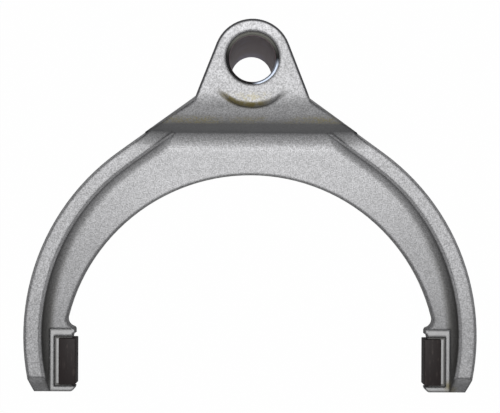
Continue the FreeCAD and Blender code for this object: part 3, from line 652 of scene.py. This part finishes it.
@dataclass(frozen=True)
class Rims:
    """The thin dark lines of painted shade along the casting's edges, where the rounded edges turn away
    from the light.

    Attributes:
        dark: Their colour.
        width: How far they reach in from the edges.
        hub_width: How far they reach in on the hub's face.
        samples: How many times the edges are looked for.
        turned: How dark a point is, by the cosine between its rounded and its true normal.
        strength: How strong they are at most.
        hub_strength: How strong they are on the hub's face.
        shoulder_loss: How much fainter they are on the lug's shoulders.
        hub_face: The hub's face, outside the bore.
        shoulders: The lug's shoulders.
        hub_line: The line along the hub's outline.
    """

    dark: Colour = (0.06, 0.06, 0.065)
    width: float = 1.6 * MM
    hub_width: float = 2.3 * MM
    samples: int = 6
    turned: Fade = Fade(0.9988, 0.93)
    strength: float = 0.75
    hub_strength: float = 0.95
    shoulder_loss: float = 0.45
    hub_face: Region = Region(height=Fade(50.0 * MM, 53.0 * MM), radius=Fade(13.0 * MM, 14.5 * MM))
    shoulders: Region = Region(height=Fade(14.0 * MM, 20.0 * MM), aside=Fade(30.0 * MM, 38.0 * MM))
    hub_line: HubLine = HubLine()

    def paint(self, graph: Graph, spot: Spot, colour: Socket) -> tuple[Socket, Socket]:
        """Paints the dark lines of shade over the skin.

        Args:
            graph: The casting's node tree.
            spot: The shaded point.
            colour: The skin's colour.

        Returns:
            The colour with the painted shade lines on it, and the normal that is rounded over the edges.
        """
        on_hub = self.hub_face.mask(graph, spot)
        width = graph.between(on_hub, self.width, self.hub_width)
        rounded = graph.add("ShaderNodeBevel", {"Radius": width}, samples=self.samples).outputs[0]
        cosine = graph.add("ShaderNodeVectorMath", {0: rounded, 1: spot.facing}, operation="DOT_PRODUCT")
        on_edge = self.turned.mask(graph, cosine.outputs["Value"])
        on_rim = graph.math("MAXIMUM", on_edge, self.hub_line.mask(graph, spot))
        strength = graph.math("MULTIPLY_ADD", self.shoulders.mask(graph, spot), -self.shoulder_loss,
                              graph.between(on_hub, self.strength, self.hub_strength))
        # Painted shade along the edges.
        return graph.mix(graph.product(on_rim, strength), colour, self.dark), rounded


@dataclass(frozen=True)
class CastFinish:
    """Shot-blasted light metal, machined on the lands at the tips, with oil, painted shade in its corners
    and hollows, and painted dark edges.

    Attributes:
        arm_centre: Where the arms' arcs have their centre, along the arms.
        skin: Its bare skin.
        lands: Where the machined lands are.
        machined: Their colour.
        machined_share: How much of that colour they have.
        under_boss: The hollow under the boss, where oil stands and shade is painted.
        under_boss_shade: How much painted shade is in it.
        oil: Its oil.
        corner_shade: The shade painted in its corners, pockets and channels.
        rims: The dark lines of painted shade along its edges.
        metallic: How metallic it is.
        roughness: How rough it is.
        land_roughness: How rough the lands are.
        relief: How strongly the skin's relief shows.
        land_relief: How strongly it shows on the lands.
        relief_depth: How deep the relief is.
    """

    arm_centre: float = -125.7 * MM
    skin: Skin = Skin()
    lands: Region = Region(
        along=Fade(-122.8 * MM, -122.85 * MM), aside=Fade(97.01 * MM, 96.99 * MM),
        level=Fade(2.88 * MM, 2.84 * MM))
    machined: Colour = (0.5, 0.5, 0.5)
    machined_share: float = 0.65
    under_boss: Region = Region(
        along=Fade(-11.5 * MM, -17.0 * MM), height=Fade(47.0 * MM, 49.0 * MM),
        radius=Band(20.3 * MM, 1.1 * MM, 1.2 * MM))
    under_boss_shade: float = 0.5
    oil: Oil = Oil()
    corner_shade: CornerShade = CornerShade()
    rims: Rims = Rims()
    metallic: float = 0.5
    roughness: float = 0.6
    land_roughness: float = 0.44
    relief: float = 0.5
    land_relief: float = 0.1
    relief_depth: float = 0.12 * MM

    def make(self) -> bpy.types.Material:
        """Builds the material and returns it."""
        graph = Graph("shot_blasted_casting")
        spot = Spot.measure(graph, self.arm_centre)
        on_land = self.lands.mask(graph, spot)
        under_boss = self.under_boss.mask(graph, spot)
        colour, relief = self.skin.paint(graph, spot)
        colour = graph.mix(graph.product(on_land, self.machined_share), colour, self.machined)
        # Painted shade in the hollow under the boss.
        colour = graph.mix(graph.product(under_boss, self.under_boss_shade), colour, self.corner_shade.shade_colour)
        colour = self.oil.paint(graph, spot, colour, under_boss)
        # Painted shade in the corners, pockets and channels.
        colour = self.corner_shade.paint(graph, spot, colour, on_land)
        # Painted shade along the edges.
        colour, rounded = self.rims.paint(graph, spot, colour)
        bump = {"Strength": graph.between(on_land, self.relief, self.land_relief),
                "Distance": self.relief_depth, "Height": relief, "Normal": rounded}
        return graph.principled(bump, {
            "Base Color": colour, "Metallic": self.metallic,
            "Roughness": graph.between(on_land, self.roughness, self.land_roughness)})


@dataclass(frozen=True)
class PadFinish:
    """Dark brown moulded plastic, rubbed along its length by the sleeve.

    Attributes:
        base: Its own colour.
        rubbed: Its colour where it is rubbed.
        streaks: The rub marks, drawn out along the pads.
        mottle: The patches that the rub marks lie in.
        relief: How strongly the rub marks' relief shows.
        relief_depth: How deep it is.
        smoothest: How rough it is at the least.
        roughest: How rough it is at most.
        specular: How strongly it mirrors.
    """

    base: Colour = (0.024, 0.018, 0.018)
    rubbed: Colour = (0.06, 0.048, 0.045)
    streaks: Waves = Waves(900.0, detail=4.0, fade=Fade(0.5, 0.72), stretch=(1.0, 0.12, 1.0))
    mottle: Waves = Waves(260.0, fade=Fade(0.42, 0.62))
    relief: float = 0.35
    relief_depth: float = 0.05 * MM
    smoothest: float = 0.46
    roughest: float = 0.66
    specular: float = 0.25

    def make(self) -> bpy.types.Material:
        """Builds the material and returns it."""
        graph = Graph("moulded_pad")
        streaks = self.streaks.value(graph)
        mottle = self.mottle.value(graph)
        wear = graph.product(self.streaks.fade.mask(graph, streaks), self.mottle.fade.mask(graph, mottle))
        bump = {"Strength": self.relief, "Distance": self.relief_depth, "Height": streaks}
        return graph.principled(bump, {
            "Base Color": graph.mix(wear, self.base, self.rubbed),
            "Roughness": graph.between(mottle, self.smoothest, self.roughest),
            "Specular IOR Level": self.specular})


@dataclass(frozen=True)
class BushFinish:
    """A dry bush: brown bearing lining inside, grey steel at its ends, with painted shade on the lower
    side of the steel and a painted reflection on the lower right of the wall.

    Attributes:
        lining: The lining's colour.
        bloom: The colour of its paler patches.
        reflection: The colour of the painted reflection on the lower right of the wall.
        steel: The colour of the steel back at the ends.
        lower_shade: The steel's colour on the lower side, with painted shade.
        ring: Where the steel begins, from the axis outwards.
        patches: The paler patches.
        patch_strength: How strong they are at most.
        deep: Where the lining is paler all over, down the bore.
        middle: Where it has done so, across the bore.
        reflecting: Where the reflection is painted, by how far towards the lower right a point of the wall
            lies.
        reflection_strength: How strong the painted reflection is at most.
        upper: Where the steel has no painted shade, by how far towards the top a point of the wall lies.
        swirl: The fine marks round the bore.
        relief: How strongly their relief shows.
        relief_depth: How deep it is.
        metallic: How metallic it is.
        roughness: How rough the lining and the side with the painted reflection are.
        dull_roughness: How rough the rest of the steel is.
        specular: How strongly the lining and the side with the painted reflection mirror.
        dull_specular: How strongly the rest of the steel mirrors.
    """

    lining: Colour = (0.3, 0.22, 0.235)
    bloom: Colour = (0.45, 0.4, 0.52)
    reflection: Colour = (0.4, 0.45, 0.54)
    steel: Colour = (0.2, 0.2, 0.18)
    lower_shade: Colour = (0.025, 0.025, 0.025)
    ring: Fade = Fade(10.1 * MM, 10.2 * MM)
    patches: Waves = Waves(90.0, detail=4.0, fade=Fade(0.5, 0.7))
    patch_strength: float = 0.4
    deep: Fade = Fade(14.0 * MM, -6.0 * MM)
    middle: Band = Band(-1.0 * MM, 7.0 * MM, 7.0 * MM)
    reflecting: Fade = Fade(0.95, 1.25)
    reflection_strength: float = 0.9
    upper: Fade = Fade(0.0, 0.9)
    swirl: Waves = Waves(1200.0, detail=2.0, stretch=(1.0, 1.0, 0.05))
    relief: float = 0.15
    relief_depth: float = 0.03 * MM
    metallic: float = 0.4
    roughness: float = 0.38
    dull_roughness: float = 0.8
    specular: float = 0.5
    dull_specular: float = 0.08

    def make(self) -> bpy.types.Material:
        """Builds the material and returns it."""
        graph = Graph("lined_bush")
        across, along, height = graph.axes()
        radius = graph.length(across, along)
        on_steel = self.ring.mask(graph, radius)
        patches = graph.product(self.patches.mask(graph), self.patch_strength)
        deep = graph.product(self.deep.mask(graph, height), self.middle.mask(graph, across))
        colour = graph.mix(graph.math("MAXIMUM", patches, deep), self.lining, self.bloom)
        # Painted shade on the lower side of the steel.
        upper = self.upper.mask(graph, graph.math("DIVIDE", along, radius))
        colour = graph.mix(on_steel, colour, graph.mix(upper, self.lower_shade, self.steel))
        # Painted reflection on the lower right of the wall.
        lower_right = graph.math("DIVIDE", graph.math("SUBTRACT", across, along), radius)
        reflecting = graph.product(self.reflecting.mask(graph, lower_right), self.reflection_strength)
        colour = graph.mix(reflecting, colour, self.reflection)
        dull = graph.product(on_steel, graph.math("SUBTRACT", 1.0, reflecting))
        bump = {"Strength": self.relief, "Distance": self.relief_depth, "Height": self.swirl.value(graph)}
        return graph.principled(bump, {
            "Base Color": colour, "Metallic": self.metallic,
            "Roughness": graph.between(dull, self.roughness, self.dull_roughness),
            "Specular IOR Level": graph.between(dull, self.specular, self.dull_specular)})


@dataclass(frozen=True)
class PaperFinish:
    """The pale floor: white to the camera, a plain grey to everything else, with a faint shadow.

    Attributes:
        paper: Its own colour.
        shown: How much of the white shows over the shadow.
        gleam: How much of the white the metal mirrors.
    """

    paper: Colour = (0.35, 0.35, 0.35)
    shown: float = 0.992
    gleam: float = 0.16

    def make(self) -> bpy.types.Material:
        """Builds the material and returns it."""
        graph = Graph("white_paper")
        rays = graph.add("ShaderNodeLightPath").outputs
        seen = graph.math("MAXIMUM", rays["Is Camera Ray"], rays["Is Transmission Ray"])
        seen = graph.math("MAXIMUM", seen, graph.product(rays["Is Glossy Ray"], self.gleam))
        lit = graph.add("ShaderNodeBsdfDiffuse", {"Color": self.paper})
        white = graph.add("ShaderNodeEmission", {"Color": WHITE, "Strength": 1.0})
        inputs = {0: graph.product(seen, self.shown), 1: lit.outputs[0], 2: white.outputs[0]}
        return graph.finish(graph.add("ShaderNodeMixShader", inputs))


def dress(piece: bpy.types.Object, material: bpy.types.Material) -> None:
    """Gives a piece one material all over.

    Args:
        piece: The piece, or a solid of the frame.
        material: Its material.
    """
    if not piece.material_slots:
        piece.data.materials.append(material)
    for material_slot in piece.material_slots:
        material_slot.material = material


def add_object(name: str, mesh: bmesh.types.BMesh) -> bpy.types.Object:
    """Turns a finished bmesh into an object of the scene.

    Args:
        name: The object's name.
        mesh: Its shape, in place.

    Returns:
        The object.
    """
    data = bpy.data.meshes.new(name)
    mesh.to_mesh(data)
    mesh.free()
    made = bpy.data.objects.new(name, data)
    bpy.context.scene.collection.objects.link(made)
    return made


def add_piece(name: str, mesh: bmesh.types.BMesh, replaced: Node) -> bpy.types.Object:
    """Turns a finished bmesh into a piece that stands for a solid.

    Args:
        name: The piece's name.
        mesh: Its shape, in place.
        replaced: The solid that it stands for.

    Returns:
        The piece.
    """
    piece = add_object(name, mesh)
    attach(piece, BODY)
    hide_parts(replaced.value)
    return piece


@dataclass
class Casting:
    """The fork casting, whose solid is shown as it is.

    Attributes:
        finish: What its surface looks like.
    """

    finish: CastFinish = CastFinish()

    def build(self) -> list[bpy.types.Object]:
        """Dresses the casting and returns it."""
        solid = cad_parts[Node.CASTING.value]
        dress(solid, self.finish.make())
        return [solid]


@dataclass
class SlipperPad:
    """One slipper pad: a U that opens outwards over the tongue of its tip.

    Attributes:
        side: Which tip it sits on.
        node: The solid that it stands for.
        tongue_gap: How wide its slot is.
        slot_depth: How deep its slot is.
        edge: How far its edges are rounded.
        edge_steps: How many steps round an edge.
    """

    side: Side
    node: Node
    tongue_gap: float = 3.7 * MM
    slot_depth: float = 6.45 * MM
    edge: float = 0.35 * MM
    edge_steps: int = 3

    def build(self, material: bpy.types.Material) -> bpy.types.Object:
        """Builds the pad from its solid's box.

        Args:
            material: Its finish.

        Returns:
            The piece.
        """
        low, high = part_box(self.node.value)
        outer, contact = (low.x, high.x) if self.side is Side.LEFT else (high.x, low.x)
        bed = outer - self.side.value * self.slot_depth
        half_gap = self.tongue_gap / 2
        outline = [(contact, low.z), (outer, low.z), (outer, -half_gap), (bed, -half_gap),
                   (bed, half_gap), (outer, half_gap), (outer, high.z), (contact, high.z)]
        mesh = bmesh.new()
        corners = [mesh.verts.new((x, low.y, z)) for x, z in outline]
        end = mesh.faces.new(corners)
        grown = bmesh.ops.extrude_face_region(mesh, geom=[end], use_keep_orig=True)
        moved = [item for item in grown["geom"] if isinstance(item, bmesh.types.BMVert)]
        bmesh.ops.translate(mesh, verts=moved, vec=(0.0, high.y - low.y, 0.0))
        bmesh.ops.recalc_face_normals(mesh, faces=mesh.faces)
        bmesh.ops.bevel(mesh, geom=list(mesh.edges), offset=self.edge, offset_type="OFFSET",
                        segments=self.edge_steps, profile=0.5, affect="EDGES", material=-1,
                        clamp_overlap=True)
        for face in mesh.faces:
            face.smooth = True
        piece = add_piece(f"{self.side.name.lower()}_slipper", mesh, self.node)
        dress(piece, material)
        return piece


@dataclass
class Pads:
    """Both slipper pads.

    Attributes:
        finish: What their surface looks like.
    """

    finish: PadFinish = PadFinish()

    def build(self) -> list[bpy.types.Object]:
        """Builds both pads and returns them."""
        material = self.finish.make()
        pads = [SlipperPad(Side.LEFT, Node.LEFT_PAD), SlipperPad(Side.RIGHT, Node.RIGHT_PAD)]
        return [pad.build(material) for pad in pads]


@dataclass
class Bush:
    """The bush in the rail bore, whose solid is shown as it is.

    Attributes:
        finish: What its surface looks like.
    """

    finish: BushFinish = BushFinish()

    def build(self) -> list[bpy.types.Object]:
        """Dresses the bush and returns it."""
        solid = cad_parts[Node.BUSH.value]
        dress(solid, self.finish.make())
        return [solid]


@dataclass(frozen=True)
class SoftBox:
    """A soft rectangular studio lamp.

    Attributes:
        name: Its name.
        place: Where it hangs.
        target: What it points at.
        size: Its width and height.
        power: Its power in watts.
    """

    name: str
    place: Point
    target: Point
    size: tuple[float, float]
    power: float


@dataclass
class Studio:
    """The floor, the lamps, the white surroundings and the camera.

    Attributes:
        floor_size: How wide the floor is.
        floor_gap: How far the floor stays below the fork, so that the two never share a plane.
        floor_finish: What its surface looks like.
        lamps: The lamps.
        sky: The strength of the light from all round.
        camera_place: Where the camera stands.
        camera_roll: How far it is rolled, in degrees.
        camera_yaw: How far it is turned sideways, in degrees.
        lens: Its focal length in millimetres on a 36 mm film.
        nearest: How near to the camera it still shows things.
    """

    floor_size: float = 6.0
    floor_gap: float = 0.05 * MM
    floor_finish: PaperFinish = PaperFinish()
    lamps: tuple[SoftBox, ...] = (
        SoftBox("front", place=(0.0, -0.01, 0.78), target=(0.0, -0.06, 0.0), size=(0.3, 0.3), power=4.1),
    )
    sky: float = 0.09
    camera_place: Point = (-3.956 * MM, -63.9 * MM, 455.0 * MM)
    camera_roll: float = 0.2619
    camera_yaw: float = -0.449
    lens: float = 67.23
    nearest: float = 10.0 * MM

    def build(self) -> list[bpy.types.Object]:
        """Sets up the studio and returns its objects."""
        self.set_surroundings()
        return [self.add_floor(), *(self.add_lamp(lamp) for lamp in self.lamps), self.add_camera()]

    def add_floor(self) -> bpy.types.Object:
        """Lays the floor just under the fork and returns it."""
        mesh = bmesh.new()
        bmesh.ops.create_grid(mesh, x_segments=1, y_segments=1, size=self.floor_size / 2)
        lowest = Vector(SOLID_BOX[0]).z
        bmesh.ops.translate(mesh, verts=mesh.verts, vec=(0.0, 0.0, lowest - self.floor_gap))
        floor = add_object("floor", mesh)
        dress(floor, self.floor_finish.make())
        return floor

    def add_lamp(self, lamp: SoftBox) -> bpy.types.Object:
        """Hangs one lamp.

        Args:
            lamp: Its values.

        Returns:
            The lamp's object.
        """
        light = bpy.data.lights.new(lamp.name, "AREA")
        light.shape = "RECTANGLE"
        light.size, light.size_y = lamp.size
        light.energy = lamp.power
        holder = bpy.data.objects.new(lamp.name, light)
        holder.location = lamp.place
        aim = Vector(lamp.target) - Vector(lamp.place)
        holder.rotation_euler = aim.to_track_quat("-Z", "Y").to_euler()
        bpy.context.scene.collection.objects.link(holder)
        return holder

    def set_surroundings(self) -> None:
        """Makes the world white to the camera and pale to everything else."""
        world = bpy.data.worlds.new("studio")
        bpy.context.scene.world = world
        world.use_nodes = True
        nodes, links = world.node_tree.nodes, world.node_tree.links
        nodes.clear()
        rays = nodes.new("ShaderNodeLightPath")
        pale, white = nodes.new("ShaderNodeBackground"), nodes.new("ShaderNodeBackground")
        pale.inputs["Strength"].default_value = self.sky
        white.inputs["Strength"].default_value = 1.0
        for background in (pale, white):
            background.inputs["Color"].default_value = (*WHITE, 1.0)
        shown, output = nodes.new("ShaderNodeMixShader"), nodes.new("ShaderNodeOutputWorld")
        links.new(rays.outputs["Is Camera Ray"], shown.inputs[0])
        links.new(pale.outputs[0], shown.inputs[1])
        links.new(white.outputs[0], shown.inputs[2])
        links.new(shown.outputs[0], output.inputs["Surface"])

    def add_camera(self) -> bpy.types.Object:
        """Sets the camera where the photograph was taken from and returns it."""
        data = bpy.data.cameras.new("camera")
        data.lens = self.lens
        data.clip_start = self.nearest
        camera = bpy.data.objects.new("camera", data)
        turn = (Matrix.Rotation(math.radians(self.camera_roll), 4, "Z")
                @ Matrix.Rotation(math.radians(self.camera_yaw), 4, "Y"))
        camera.matrix_world = Matrix.Translation(self.camera_place) @ turn
        bpy.context.scene.collection.objects.link(camera)
        bpy.context.scene.camera = camera
        bpy.context.scene.view_settings.view_transform = "Standard"
        return camera


def main() -> None:
    """Builds the studio and the fork, piece by piece."""
    logging.basicConfig(level=logging.INFO, format="%(message)s")
    for group in (Studio(), Casting(), Pads(), Bush()):
        for piece in group.build():
            LOG.info("%s: %s", type(group).__name__, piece.name)


if __name__ == "__main__":
    main()
